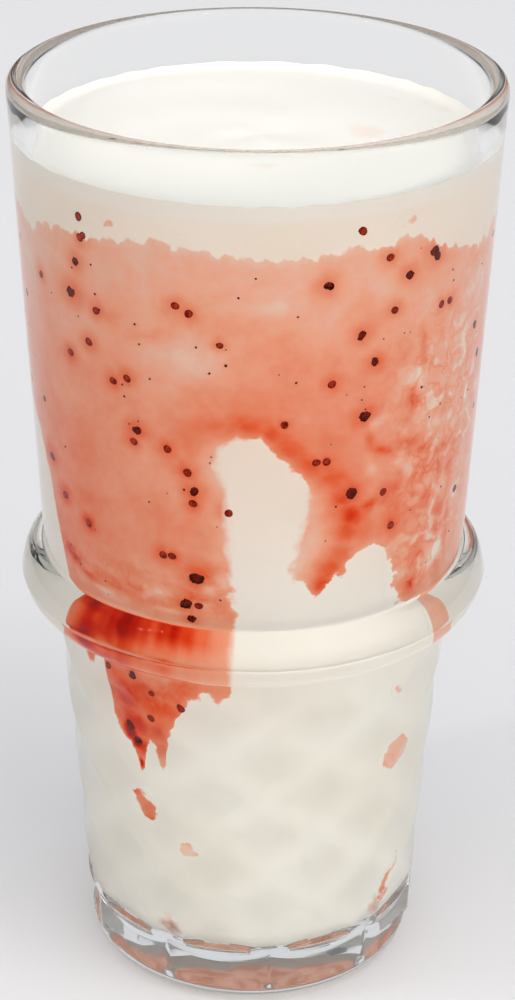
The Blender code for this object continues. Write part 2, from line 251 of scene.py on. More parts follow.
# %% Driving sizes of the tumbler, in mm
HEIGHT = 150
RIM_RADIUS = 37.3
RIM_WALL = 2.87
TUBE_FOOT = (33.7, 74.1)
RING_RADIUS = 37.3
RING_HEIGHT = 69.2
RING_HALF = 4.9
BODY_TOP = (32.1, 64.3)
BODY_FOOT = (27.6, 4)
BODY_SLOPE = 0.0466
BODY_CURVE = 0.000473
FOOT_RADIUS = 27.1
FOOT_HEIGHT = 3.2
FOOT_FLAT = 23.2
PANEL_FOOT = 4.1
FLOOR = 9.5
FLOOR_CORNER = 4
BORE_FOOT = 24.5
BORE_NECK = (28.5, 66)
BORE_SHOULDER = (31.3, 90)
DIAMONDS = 10
DIAMOND_WIDE = 360 / DIAMONDS
DIAMOND_TALL = 14.4
LATTICE_FOOT = 11.9
LATTICE_TOP = LATTICE_FOOT + 3.5 * DIAMOND_TALL
FIRST_CORNER = 7
DIAMOND_DEPTH = 0.75
SCALLOP_HEIGHT = 10.9
SCALLOP_DIP = 2.4
DRINK_TOP = 141.6


def body_radius(z):
    rise = z - BODY_FOOT[1]
    return BODY_FOOT[0] + BODY_SLOPE * rise + BODY_CURVE * rise * rise


def bore_radius(z):
    """The inside of the wall at a height, for one number or an array of them."""
    corner_top = FLOOR + FLOOR_CORNER
    upper = blend(BORE_SHOULDER[0], RIM_RADIUS - RIM_WALL,
                  np.clip((z - BORE_SHOULDER[1]) / (HEIGHT - RIM_WALL / 2 - BORE_SHOULDER[1]), 0, 1))
    bend = blend(BORE_NECK[0], BORE_SHOULDER[0], smooth(z, BORE_NECK[1], BORE_SHOULDER[1]))
    lower = blend(BORE_FOOT, BORE_NECK[0], np.clip((z - corner_top) / (BORE_NECK[1] - corner_top), 0, 1))
    drop = np.clip(corner_top - z, 0, FLOOR_CORNER)
    corner = BORE_FOOT - FLOOR_CORNER + np.sqrt(FLOOR_CORNER**2 - drop**2)
    straight = np.where(z >= BORE_SHOULDER[1], upper, np.where(z >= BORE_NECK[1], bend, lower))
    return np.where(z < corner_top, corner, straight)


print("bore radius at the level of the drink", round(float(bore_radius(DRINK_TOP)), 2))

# %% [markdown]
# ## Turning a profile
#
# Blender's Screw modifier turns a profile, but the diamonds need every point moved by its own
# angle. So we turn the profile in code: rings of points, joined by quads, with a single
# point where the profile meets the axis. A relief function then moves each point.

# %% Turn a profile into a closed surface
def on_axis(angle, radius, z):
    """The point at an angle in degrees, 0 at the front, with a radius and a height in mm."""
    turn = radians(angle)
    return (radius * sin(turn) * MM, -radius * cos(turn) * MM, z * MM)


def turned(name, profile, columns, relief=None, crease=40):
    """Turns (radius, height) points, both ends on the axis, into a smooth closed mesh."""
    points = [on_axis(0, 0, profile[0][1])]
    for radius, z in profile[1:-1]:
        for column in range(columns):
            angle = 360 * column / columns
            spot = relief(angle, radius, z) if relief else (radius, z)
            points.append(on_axis(angle, *spot))
    points.append(on_axis(0, 0, profile[-1][1]))
    last = len(points) - 1
    faces = []
    for column in range(columns):
        beside = (column + 1) % columns
        faces.append((0, 1 + column, 1 + beside))
        for row in range(len(profile) - 3):
            start, below = 1 + row * columns, 1 + (row + 1) * columns
            faces.append((start + column, below + column, below + beside, start + beside))
        faces.append((last, last - columns + beside, last - columns + column))
    mesh = bpy.data.meshes.new(name)
    mesh.from_pydata(points, [], faces)
    mesh.shade_smooth()
    mesh.set_sharp_from_angle(angle=radians(crease))
    return placed_object(name, mesh)


def placed_object(name, mesh):
    obj = bpy.data.objects.new(name, mesh)
    bpy.context.scene.collection.objects.link(obj)
    return obj


def arc(centre, radii, start, end, steps):
    """Points of an ellipse from one angle in degrees to another, both ends included."""
    angles = [radians(blend(start, end, i / steps)) for i in range(steps + 1)]
    return [(centre[0] + radii[0] * cos(a), centre[1] + radii[1] * sin(a)) for a in angles]


def rows(start, end, step):
    """Even heights from start to end, no further apart than the step."""
    count = max(round(abs(end - start) / step), 1)
    return [blend(start, end, i / count) for i in range(count + 1)]


def wall_rows(start, end, step, into_wall=0.0):
    """Points of the inside of the wall from one height to another."""
    return [(float(bore_radius(z)) + into_wall, z) for z in rows(start, end, step)]


print("points of a quarter arc", arc((0, 0), (1, 1), 0, 90, 2))

# %% [markdown]
# ## The pressed lattice
#
# Ten diamonds go round, each 14.4 mm tall and hollowed like a thumbprint, so that sharp
# ridges are left between them. Behind the milk side the ridges only shimmer, but near the
# edges of the glass each facet is a small lens. The depth comes from two slanted waves: one
# counts ridges that rise to the right, the other ridges that fall.

# %% Diamonds and the flat panels of the foot
NEAR = 0.01  # mm: what counts as the same height or radius


def diamond_depth(angle, z):
    across = (angle - FIRST_CORNER) / DIAMOND_WIDE
    up = (z - LATTICE_FOOT) / DIAMOND_TALL
    rising = 2 * abs((across + up) % 1 - 0.5)
    falling = 2 * abs((across - up) % 1 - 0.5)
    return (1 - rising**2) * (1 - falling**2)


def panel_turn(angle):
    """How far an angle is from the middle of its foot panel, in degrees."""
    return (angle - FIRST_CORNER) % DIAMOND_WIDE - DIAMOND_WIDE / 2


def scallop(angle, z):
    """The panels end in a scalloped edge, which the rows near it follow."""
    share = 1 - (2 * panel_turn(angle) / DIAMOND_WIDE) ** 2
    near = smooth(z, PANEL_FOOT, SCALLOP_HEIGHT) * (1 - smooth(z, SCALLOP_HEIGHT, LATTICE_FOOT + 2))
    return z - SCALLOP_DIP * share * near


def press(angle, radius, z):
    """Moves a point of the outside to where the mould pressed it."""
    if radius < body_radius(z) - NEAR or z > LATTICE_TOP + NEAR or z < PANEL_FOOT - NEAR:
        return radius, z
    if z > SCALLOP_HEIGHT + NEAR:
        fade = 1 - float(np.clip((z - LATTICE_TOP + DIAMOND_TALL / 3) / (DIAMOND_TALL / 3), 0, 1))
        start = float(smooth(z, SCALLOP_HEIGHT, LATTICE_FOOT))
        return radius - DIAMOND_DEPTH * fade * start * diamond_depth(angle, z), z
    flat = cos(radians(DIAMOND_WIDE / 2)) / cos(radians(panel_turn(angle)))
    return radius * flat, float(scallop(angle, z))


print("a diamond is", round(float(body_radius(LATTICE_FOOT)) * radians(DIAMOND_WIDE), 1), "mm wide")

# %% The tumbler
GLASS_COLUMNS = 360
LATTICE_ROW = 0.6
STRAIGHT_ROW = 6
BEND_ROW = 1.5
CREASE_FILLET = 0.7
SEAM = 0.12  # how far the mould's seam stands out, along the middle of the ring
SEAM_HALF = 0.3


def glass_profile():
    corner = (BORE_FOOT - FLOOR_CORNER, FLOOR + FLOOR_CORNER)
    points = [(0, FLOOR), (corner[0] * 0.5, FLOOR)]
    points += arc(corner, (FLOOR_CORNER, FLOOR_CORNER), -90, 0, 8)
    points += wall_rows(corner[1], BORE_NECK[1], STRAIGHT_ROW)[1:]
    points += wall_rows(BORE_NECK[1], BORE_SHOULDER[1], BEND_ROW)[1:]
    half = RIM_WALL / 2
    points += wall_rows(BORE_SHOULDER[1], HEIGHT - half, STRAIGHT_ROW)[1:-1]
    points += arc((RIM_RADIUS - half, HEIGHT - half), (half, half), 180, 0, 16)
    tube = TUBE_FOOT[1] + CREASE_FILLET
    points += [(blend(RIM_RADIUS, TUBE_FOOT[0], (HEIGHT - half - z) / (HEIGHT - half - TUBE_FOOT[1])), z)
               for z in rows(HEIGHT - half, tube, 5)[1:-1]]
    points += arc((TUBE_FOOT[0] + CREASE_FILLET, tube), (CREASE_FILLET, CREASE_FILLET), 180, 270, 5)
    ring_side = RING_RADIUS - SEAM
    points += arc((TUBE_FOOT[0], RING_HEIGHT), (ring_side - TUBE_FOOT[0], RING_HALF), 62, 4, 12)
    points += [(ring_side, RING_HEIGHT + SEAM_HALF), (RING_RADIUS, RING_HEIGHT)]
    points += [(ring_side, RING_HEIGHT - SEAM_HALF)]
    points += arc((BODY_TOP[0], RING_HEIGHT), (ring_side - BODY_TOP[0], RING_HALF), -4, -90, 14)
    points += [(body_radius(z), z) for z in rows(LATTICE_TOP, SCALLOP_HEIGHT + 0.3, LATTICE_ROW)]
    points += [(body_radius(z), z) for z in rows(SCALLOP_HEIGHT, PANEL_FOOT, 1)]
    points += arc((FOOT_FLAT, FOOT_HEIGHT), (FOOT_RADIUS - FOOT_FLAT, FOOT_HEIGHT), 0, -90, 10)
    return points + [(0, 0)]


glass = turned("pressed_glass", glass_profile(), GLASS_COLUMNS, press)
print("glass faces", len(glass.data.polygons))

# %% [markdown]
# ## Clear soda-lime glass
#
# Tableware is soda-lime glass: index 1.52, with a faint green-grey cast where it is thick.
# Pressed glass takes the mould's slight waviness, about one wave to 9 mm, which a bump far
# weaker than the diamonds gives. Fire polishing leaves the surface smooth, so it is only a
# trace rough, with faint smears where hands held it.

# %% Pressed soda-lime glass
FRONT_SHEEN = (0.12, 0.12, 0.12, 1)  # the photo's front wall mirrors almost nothing


def pressed_glass():
    made, tree, place = new_material("soda-lime glass, pressed and fire-polished")
    wave = add(tree, "TexNoise", place, Scale=1 / (9 * MM), Detail=1.0)
    bump = add(tree, "Bump", Height=wave, Strength=0.05, Distance=0.3 * MM)
    smear = add(tree, "TexNoise", place, Scale=1 / (14 * MM), Detail=4.0)
    rough = add(tree, "MapRange", smear, 0.5, 0.75, 0.0, 0.03)
    shader = add(tree, "BsdfPrincipled", linear("#FEFFFE"), Roughness=rough, Normal=bump, IOR=1.52,
                 Specular_Tint=FRONT_SHEEN, Transmission_Weight=1.0)
    add(tree, "OutputMaterial", shader)
    return made


glass.data.materials.append(pressed_glass())
print("glass is", glass.data.materials[0].name)
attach(glass, "root")
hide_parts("glass")

# %% [markdown]
# ## The milk drink
#
# The drink is thick and white, so light enters only a little way. Where a liquid wets glass
# there is no air between them, and a gap of air would show as a silver skin. So the drink
# reaches a hair into the wall: a ray inside the glass then meets milk and never air. Its
# surface is level, with a small meniscus that climbs the wall.

# %% Turn the milk
INTO_WALL = 0.06
MENISCUS = 0.9
MENISCUS_REACH = 2.6
CLINGS_FROM = (31.5, 33.5)  # mm: near the wall the surface clings in small waves
MILK_ROW = 1.6
MILK_COLUMNS = 240


def milk_profile():
    edge = float(bore_radius(DRINK_TOP)) + INTO_WALL
    points = [(0, DRINK_TOP - MENISCUS)]
    for step in range(1, 13):
        points.append((step / 13 * (edge - MENISCUS_REACH), DRINK_TOP - MENISCUS))
    for step in range(9):
        share = step / 8
        points.append((edge - MENISCUS_REACH * (1 - share), DRINK_TOP - MENISCUS * (1 - share**3)))
    corner_top = FLOOR + FLOOR_CORNER
    points += wall_rows(DRINK_TOP, corner_top, MILK_ROW, INTO_WALL)[1:]
    grown = FLOOR_CORNER + INTO_WALL
    points += arc((BORE_FOOT - FLOOR_CORNER, corner_top), (grown, grown), 0, -90, 8)[1:]
    underside = rows(BORE_FOOT - FLOOR_CORNER, 0, 0.8)[1:-1]
    return points + [(radius, FLOOR - INTO_WALL) for radius in underside] + [(0, FLOOR - INTO_WALL)]


def ripple(angle, radius, z):
    """The surface of the drink isn't quite flat: slow swells of a tenth of a millimetre."""
    if z < DRINK_TOP - MENISCUS - NEAR:
        return radius, z
    turn = radians(angle)
    swell = 0.08 * sin(0.21 * radius + 2 * turn) + 0.05 * sin(0.37 * radius - 3 * turn + 1)
    clinging = 0.1 * abs(sin(17 * turn + sin(5 * turn))) + 0.08 * sin(29 * turn + 2 * sin(3 * turn))
    at_wall = float(smooth(radius, *CLINGS_FROM))
    return radius, z + swell * (1 - at_wall) + clinging * at_wall


milk = turned("milk_drink", milk_profile(), MILK_COLUMNS, ripple)
print("milk faces", len(milk.data.polygons))

# %% [markdown]
# ### Milk, seen from above and through the wall
#
# Full milk has an index of 1.35 and is nearly white, a little yellow in its shade. The
# surface has a soft gloss. Where the milk lies against glass it has no gloss of its own, as
# the two indices are close, so the side is a second material with no specular.

# %% Milk materials
MILK_TOP = linear("#FBF8F1")
MILK_STAIN = linear("#F8E4D2")
MILK_HIGH = (linear("#F3E8DA"), linear("#F5ECE1"))
MILK_LOW = (linear("#F2EEE5"), linear("#F6F4ED"))
STAINED_FROM = (66, 120)  # mm: the milk is a little pinker from here up, where puree seeped in
MILK_IOR = 1.35
MILK_SKIN = linear("#F4EEE6")
SKIN_FROM = (138.4, 140)  # mm: just under its surface the milk is whiter again
SEDIMENT = linear("#F3CFC2")
SEDIMENT_DARK = linear("#B98378")
# painted light: the sunk puree glows, standing in for light that seeps down through the milk
PAINTED_GLOW_COLOUR = linear("#94705F")
PAINTED_GLOW_STRENGTH = 0.8
SEDIMENT_RADIUS = 17.5
CORNER_PATCHES = (-30.5, 52.5)  # degrees: where puree settled in the corner, by two of the foot's edges
CORNER_HEIGHT = 12.3
CORNER_HALF = (6, 1.8)  # degrees and mm
CORNER_SHARE = 0.9


def milk_top_material():
    made, tree, place = new_material("full milk, still surface")
    cloud = add(tree, "TexNoise", place, Scale=1 / (11 * MM), Detail=3.0)
    share = add(tree, "MapRange", cloud, 0.62, 0.78, 0.0, 0.6, **EASED)
    colour = add(tree, "Mix", share, MILK_TOP, MILK_STAIN, **COLOURS)
    shader = add(tree, "BsdfPrincipled", colour, Roughness=0.28, IOR=MILK_IOR)
    add(tree, "OutputMaterial", shader)
    return made


print("the surface of the milk starts at", [round(v, 2) for v in MILK_TOP[:3]], "in linear light")


# %% The milk against the wall
def milk_side_colour(tree, place):
    """The milk against the wall: cream, in slow clouds a little lighter and darker."""
    cloud = add(tree, "TexNoise", place, Scale=1 / (24 * MM), Detail=2.0)
    share = add(tree, "MapRange", cloud, 0.35, 0.65, **EASED)
    height = add(tree, "SeparateXYZ", place).outputs["Z"]
    up = add(tree, "MapRange", height, STAINED_FROM[0] * MM, STAINED_FROM[1] * MM, **EASED)
    low, high = (add(tree, "Mix", share, *pair, **COLOURS) for pair in (MILK_LOW, MILK_HIGH))
    under = add(tree, "Mix", up, low, high, **COLOURS)
    near_top = add(tree, "MapRange", height, SKIN_FROM[0] * MM, SKIN_FROM[1] * MM, **EASED)
    return add(tree, "Mix", near_top, under, MILK_SKIN, **COLOURS)


def milk_side_material():
    """Milk by the wall, puree sunk under it, and a painted glow there for light seeping down the milk."""
    made, tree, place = new_material("full milk, against glass")
    grain = add(tree, "TexNoise", place, Scale=1 / (4 * MM), Detail=5.0)
    grained = add(tree, "MapRange", grain, 0.42, 0.64, **EASED)
    sunk = add(tree, "Mix", grained, SEDIMENT, SEDIMENT_DARK, **COLOURS)
    settled = add(tree, "Attribute", attribute_name="settled").outputs["Fac"]
    colour = add(tree, "Mix", settled, milk_side_colour(tree, place), sunk, **COLOURS)
    # painted light: a glow on the sunk puree, in place of light seeping down the milk
    painted_glow_share = add(tree, "Attribute", attribute_name="painted_glow_share").outputs["Fac"]
    painted_glow = add(tree, "Mix", painted_glow_share, (0, 0, 0, 1), PAINTED_GLOW_COLOUR, **COLOURS)
    shader = add(tree, "BsdfPrincipled", colour, Roughness=0.6, IOR=MILK_IOR, Specular_IOR_Level=0.0,
                 Emission_Color=painted_glow, Emission_Strength=PAINTED_GLOW_STRENGTH)
    add(tree, "OutputMaterial", shader)
    return made


print("the milk is stained from", STAINED_FROM, "mm up")


# %% Where puree sank
def sunk_disc(x, y, z):
    """Where puree sank to the bottom: a ragged disc under the milk, also where the glow is painted."""
    turn = np.arctan2(x, -y)
    rag = 0.7 * sin(5 * turn) + 0.5 * sin(11 * turn + 0.7) + 0.3 * sin(23 * turn)
    disc = 1 - smooth(np.hypot(x, y), SEDIMENT_RADIUS - 1.5 + rag, SEDIMENT_RADIUS + rag)
    return float(disc) if z < FLOOR + 1 else 0.0


def corner_patch(x, y, z):
    """Two triangles of puree in the corner, each as it lies behind an edge of the foot."""
    turn = np.degrees(np.arctan2(x, -y))
    wide, tall = CORNER_HALF
    near = min(abs(turn - angle) / wide + abs(z - CORNER_HEIGHT) / tall for angle in CORNER_PATCHES)
    return float(1 - smooth(near, 0.7, 1))


spots = [vertex.co / MM for vertex in milk.data.vertices]
# the sunk disc takes the painted glow; it and the corner patches take the sunk puree's colour
painted_glow_share = [sunk_disc(*spot) for spot in spots]
settled = [max(disc, CORNER_SHARE * corner_patch(*spot)) for disc, spot in zip(painted_glow_share, spots)]
milk.data.attributes.new("painted_glow_share", "FLOAT", "POINT").data.foreach_set("value", painted_glow_share)
milk.data.attributes.new("settled", "FLOAT", "POINT").data.foreach_set("value", settled)
milk.data.materials.append(milk_top_material())
milk.data.materials.append(milk_side_material())
for face in milk.data.polygons:
    top = face.center.z > (DRINK_TOP - MENISCUS - 0.2) * MM and face.normal.z > 0.2
    face.material_index = 0 if top else 1
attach(milk, "root")
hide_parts("drink")
print("points of sunk puree", sum(value > 0 for value in settled))

# %% [markdown]
# ## The puree film
#
# The puree clings to the inside of the wall. It is a sheet from nothing to about a
# millimetre thick, and its colour is its thickness: milk shows through the thin places,
# which look pale salmon, and the thick places are orange-red. So we paint thickness, not
# colour. First comes the outline, close to the solid's. Then strokes add or scrape away
# puree, and both are stored on the points of a fine sheet for the shader to read.

# %% The outline of the film, as it shows through the wall: (angle, height in mm)
FILM_FOOT = 41
SEEN_TURN = 1.063
SEEN_DROP = 1
TOP_EDGE = (
    (-180, 135), (-85, 134.3), (-74, 133.8), (-63, 131.8), (-57, 134.3), (-40, 134.8), (-28, 136),
    (-23, 136.8), (-17, 136), (-6, 135.3), (6, 134.8), (17, 135.3), (24, 136), (28, 135.2),
    (36, 136.6), (40, 135.3), (45, 133.4), (51, 132.2), (57, 131.4), (62, 130), (68, 130.4),
    (74, 132), (90, 134), (180, 135),
)
LOWER_EDGE = (
    (-180, 86), (-165, 92), (-152, 74), (-140, 71), (-130, 88), (-112, 96), (-96, 104), (-80, 102),
    (-70, 97), (-64, 89), (-60.5, 78), (-58.5, 68), (-56.5, 62.5), (-54.5, 60), (-52.5, 59.4), (-50.5, 61),
    (-49, 64.5), (-47.4, 64), (-46.3, 57), (-45.2, 51.6), (-43.3, 50.4), (-40.5, 48.5), (-37.8, 46.5),
    (-36.4, 43.4), (-35, 43.4), (-34.2, 46.5), (-32.4, 48.8), (-30, 48.8), (-28.4, 45), (-26.8, 45),
    (-25.6, 51), (-22.8, 54.5), (-20.6, 57.6), (-17, 59.4), (-13.2, 60.8), (-9.4, 59.4), (-6.6, 60.4),
    (-4.9, 64), (40, 64), (43, 74), (46, 72.5), (50, 71.5), (54, 70.5), (54.8, 66), (56.4, 64),
    (59.4, 63.4), (62, 64.4), (63.4, 68), (66, 70), (76, 74), (84, 82), (100, 78), (112, 66), (124, 70),
    (136, 90), (150, 98), (166, 88), (180, 86),
)
BARE_ARCHES = (
    (-3.6, 55), (-3.8, 75), (-4.4, 90), (-5, 98), (-7.6, 102.5), (-6.6, 105), (-3, 106.6),
    (0.5, 106.5), (3.5, 105), (7.5, 102.4), (11.3, 99.8), (13.2, 97), (11, 93), (9.5, 89),
    (8.5, 84.5), (10.6, 82), (14, 80.2), (16.4, 78.8), (18.2, 79.6), (22.6, 82.6), (26.3, 85.4),
    (31, 86.4), (35.7, 85.5), (38.4, 81.5), (40.4, 76.5), (42.5, 72.5), (44, 70), (44, 55),
)
BACK_ARCH = ((-176, 84), (-172, 104), (-163, 110), (-156, 100), (-158, 84))
UNSEEN_FROM = (84, 96)  # degrees: past here the photo shows nothing, and the drips just meander
WALL_RADIUS = BORE_SHOULDER[0]
print("corners of the film's lower edge", len(LOWER_EDGE))


# %% How far inside the outline a spot lies
def unrolled(angle, z):
    """The wall laid flat in mm, so that distances on it are true."""
    return np.stack([np.radians(angle) * WALL_RADIUS, z + np.zeros_like(angle)], -1)


def outside_by(points, outline):
    """The distance of points from a closed outline: positive outside and negative inside."""
    least = np.full(points.shape[:-1], 1000.0)
    inside = np.zeros(points.shape[:-1], bool)
    for start, end in zip(outline, np.roll(outline, -1, 0)):
        along = end - start
        share = np.clip(((points - start) @ along) / (along @ along), 0, 1)
        least = np.minimum(least, np.linalg.norm(points - start - share[..., None] * along, axis=-1))
        if start[1] != end[1]:
            crossing = start[0] + (points[..., 1] - start[1]) * along[0] / along[1]
            spans = (start[1] > points[..., 1]) != (end[1] > points[..., 1])
            inside ^= spans & (crossing > points[..., 0])
    return np.where(inside, -least, least)


def bubble_bites(angle):
    """The upper edge of the film: rows of small bubbles bit it into lobes 5 and 2 degrees wide."""
    turn = np.radians(angle)
    lobes = 0.8 * np.abs(np.sin(34 * turn + 1.3 * np.sin(7 * turn)))
    return lobes + 0.45 * np.abs(np.sin(83 * turn + 1)) - 0.8


def film_cover(angle, z):
    """How far inside the film's outline a spot of the wall lies, in mm."""
    seen_z = z + SEEN_DROP
    unseen = smooth(np.abs(angle), *UNSEEN_FROM)
    seen_angle = angle / SEEN_TURN + unseen * (2.2 * np.sin(0.33 * z) + 1.1 * np.sin(0.9 * z + 2))
    cover = np.interp(seen_angle, *zip(*TOP_EDGE)) + bubble_bites(angle) - seen_z
    cover = np.minimum(cover, seen_z - np.interp(seen_angle, *zip(*LOWER_EDGE)))
    spots = unrolled(seen_angle * SEEN_TURN, seen_z)
    for outline in (BARE_ARCHES, BACK_ARCH):
        corners = np.array(outline, float)
        cover = np.minimum(cover, outside_by(spots, unrolled(corners[:, 0] * SEEN_TURN, corners[:, 1])))
    return cover


print("film at the front, 120 mm up: cover", round(float(film_cover(np.array([0]), np.array([120]))[0]), 1))

# %% [markdown]
# ### Strokes of puree
#
# Each stroke is a soft oval: where it lies, how wide and tall it is, how it leans, and how
# much puree it adds, or scrapes away where the number is below nothing. Of strokes that
# overlap only the strongest counts, as the puree there is as thick as its thickest smear. The
# same kind of oval marks where milk was worked into the puree and marbled it.

# %% Strokes as they show: (angle, height, half width mm, half height mm, lean if any, puree)
STROKES = (
    # the thick rim over the long bare arch
    (-14, 106.5, 4, 2.4, 20, 0.2), (-8.5, 108.3, 4.6, 2.2, 8, 0.3), (-2, 109, 4.6, 2.1, 0.31),
    (4, 107.6, 4, 2, -24, 0.3), (9, 104.8, 4.2, 2.1, -32, 0.31), (14.4, 101.8, 4, 2.3, -26, 0.34),
    (19, 99.2, 3.4, 2.3, -24, 0.32), (0, 112, 12, 4.4, 0.14), (14, 105.4, 6.4, 3.8, -30, 0.2),
    # the root and the tip of the right drip
    (22.5, 96, 3, 2.2, -40, 0.34), (24.4, 92.8, 2.8, 2.2, -30, 0.4), (23.2, 90.2, 2, 2.4, 10, 0.36),
    (30, 94, 3, 1.1, 16, 0.38), (35, 95.5, 2.4, 1.1, 10, 0.26), (21.8, 86.4, 2.2, 2.6, -36, 0.3),
    (19.4, 84, 2.6, 2, 36, 0.34), (18, 81.6, 2.2, 1.8, 30, 0.38), (35, 90, 3, 2.4, 0.2),
    (28, 89.5, 3, 2, 10, 0.24), (38, 93, 4, 3, 0.14),
    # red streaks on the right
    (27.5, 107.5, 0.9, 1.4, 0.3), (28.5, 104.6, 0.8, 1.8, 20, 0.3), (32, 102.6, 2.6, 0.7, -22, 0.32),
    (40.5, 110.5, 0.7, 2, -6, 0.26), (42, 108.6, 1.6, 0.7, -20, 0.26), (46, 108.3, 1.4, 0.6, 14, 0.22),
    (41, 102.4, 2.2, 0.9, -22, 0.3), (47, 100.2, 2.6, 0.9, -12, 0.26), (54, 99, 3, 0.9, 0.26),
    (44, 96, 4, 2, 10, 0.16), (53, 95, 1, 2.4, 0.2), (58, 93, 1, 3, 0.24), (47, 91.5, 3, 1.6, 0.2),
    (43, 118, 0.6, 3, 8, 0.14), (54, 86, 1.6, 3, 0.2), (47, 82, 1.6, 2.4, 0.2),
    (46.5, 76.8, 1.4, 1.6, 0.36), (50, 77.5, 1, 2, 0.2), (58, 77.5, 1, 2, 0.24), (60, 84, 0.8, 4, 0.2),
    (41, 92, 3, 1.6, 0.18),
    # warm clouds
    (8, 118, 9, 5, 0.08), (-26, 93, 4, 4, 0.12), (-50, 98, 8, 7, 0.06), (-57, 83, 3, 3, 0.1),
    (-44, 91, 5, 2.5, 0.12), (28, 120, 6, 5, 0.05), (-36, 123, 2, 1.6, 0.16),
    (-25, 121.6, 3, 0.8, 14, 0.16), (-14, 90, 4, 4, 0.1), (-45, 100, 3, 4, 0.08), (-34, 88, 4, 3, 0.08),
    (-22, 104, 3, 1.5, 0.14), (-30, 110, 3, 3, 0.06),
    # the wet band just over the ring
    (-55, 79.5, 3, 1.4, -30, 0.36), (-50, 77.4, 3, 1, -14, 0.36), (-44, 78.4, 3, 0.8, 0.2),
    (-38, 77.4, 3, 0.8, -8, 0.22), (-32, 78.6, 3, 0.7, 6, 0.18), (-27, 76.4, 3, 0.8, 0.2),
    (-10, 77.5, 3, 1.6, 0.16), (-6, 76, 2, 2, 0.14), (-13, 80.5, 1.6, 1.2, 0.16),
    (-33, 81.5, 6, 1, -4, 0.1), (-17, 77, 3, 1.4, 0.2),
    # the pool inside the ring: the ring shows only a low band of the wall, drawn out tall
    (-57, 65.2, 2.8, 1, 12, 0.43), (-53.4, 66, 3.2, 1, 12, 0.5), (-49.4, 67, 3.4, 1, 12, 0.5),
    (-45, 67.7, 3.4, 0.9, 6, 0.42), (-41, 68, 3.4, 0.9, 6, 0.46), (-37, 68.4, 3.2, 0.9, 6, 0.54),
    (-33.4, 68.8, 3, 1, 4, 0.56), (-29.8, 68.9, 3, 1, 0.48), (-26, 69, 3, 1, 0.5),
    (-22.4, 69.1, 3, 1, 0.48), (-18.6, 69.2, 3, 1, 0.42), (-14.4, 69.3, 2.6, 1, 0.32),
    (-11, 69.3, 2.4, 1, 0.18), (-36.4, 67.3, 3.4, 0.8, 0.38), (-31, 67.4, 2.6, 0.9, 0.24),
    (-27.4, 66.9, 3, 1.1, 0.24), (-23.6, 66.5, 2, 1.1, 0.36), (-16, 66.6, 4, 1.4, 0.1),
    # the drip below the ring
    (-41, 60.2, 5, 2.2, 0.32), (-34, 60.2, 5, 2.2, 0.34), (-27, 59.8, 5, 2.2, 0.32),
    (-37, 57.4, 5, 3.2, 0.38), (-30, 57, 4.4, 3.2, 0.36), (-36, 52.6, 4, 3, -10, 0.38),
    (-38.6, 50.6, 1.3, 1.9, -24, 0.58), (-37, 48.6, 1.1, 1.3, -30, 0.6), (-30, 52.6, 3.4, 2.6, 0.34),
    (-35, 48.4, 2, 2.4, -10, 0.38), (-36, 44.6, 0.7, 1, 0.6), (-25.6, 57, 3, 2.4, 0.32),
    (-20, 61.6, 3.4, 2, 20, 0.28), (-13, 62.4, 3, 1.6, 14, 0.12), (-53.6, 62.6, 0.9, 2.4, 10, 0.28),
    (-50.6, 63, 0.6, 1.6, 16, 0.26), (-27.6, 49, 1.6, 1.8, 0.24), (-8, 62, 1.6, 2, 0.06),
    # the thin patch in the ring's right end, scraped thinner still as painted light, to lift it out of the
    # ring's shade
    (58.5, 66, 5, 2.4, -0.15),
    # pale gaps in the drip and just under the pool
    (-42, 64, 8, 0.8, -0.16), (-26, 64, 6, 0.7, -0.14), (-43, 71.6, 4, 1.4, -0.12),
    (-36, 72.4, 3, 1.2, -0.12), (-18.8, 75.7, 1, 0.7, 0.24),
    # the pale oval and other thin places on the left
    (-17, 118.4, 4.6, 3.2, -0.24), (-21, 113.5, 3, 2.2, 20, -0.12), (-10, 116.5, 3, 1.8, -0.08),
    (-47, 118.5, 4, 3, -0.13), (-52, 108, 4, 5, -0.08), (3, 127.4, 3, 1.2, -0.12), (-27, 100, 3, 4, -0.08),
    (-66, 120, 3, 12, -0.13), (-20, 96, 2, 3, -0.06), (17, 124, 3, 3, -0.08), (-57, 128, 3, 4, -0.06),
    (30, 129, 5, 2, -0.08),
    # where the film thins towards the bare arch, and the pale side of the right drip
    (-7.4, 101, 2.6, 5, 6, -0.24), (-6, 90, 1.6, 5, -0.16), (-7.5, 82.5, 1.4, 1, -0.3),
    (12.5, 94, 2, 4, -20, -0.22), (11.6, 87, 2, 4, -0.24), (14.6, 89.5, 2, 4, -20, -0.2),
    # milk worked into the film on the right
    (44, 112.3, 1.4, 1.5, -20, -0.34), (46, 117, 1.4, 1.6, -0.24), (51, 117, 2, 2, -0.2),
    (57, 109, 1.6, 2.6, 20, -0.22), (56.5, 92.3, 1.8, 1.5, -0.34), (30, 107.4, 1.8, 0.7, 26, -0.34),
    (29.6, 99.8, 0.8, 0.7, -0.28), (50, 104, 2.4, 1, -14, -0.24), (55, 103.6, 2, 1, -0.24),
    (54.5, 80.4, 1.8, 1.4, 30, -0.34), (64, 104, 2, 5, -0.2), (50, 94.5, 1.4, 0.8, -0.24),
    (62, 90, 1.2, 4, -0.26), (39, 99.4, 1.4, 0.8, -20, -0.2), (61, 118, 4, 7, -0.14),
    (54, 112, 5, 6, -0.14), (62, 106, 4, 8, -0.14), (50, 124, 6, 4, -0.06), (49, 87.5, 1.2, 0.8, -0.2),
    (66, 94, 1.4, 6, -0.16), (52, 90, 1, 0.7, -0.24),
    # pale arcs just over the ring
    (-43.4, 75.6, 1.8, 0.5, -8, -0.4), (-23, 75.8, 3, 0.4, -4, -0.26), (-23, 79, 2, 0.7, -0.2),
    (-11.2, 80.8, 1, 0.7, 20, -0.4), (-12.4, 77.8, 1, 0.5, -0.3),
)
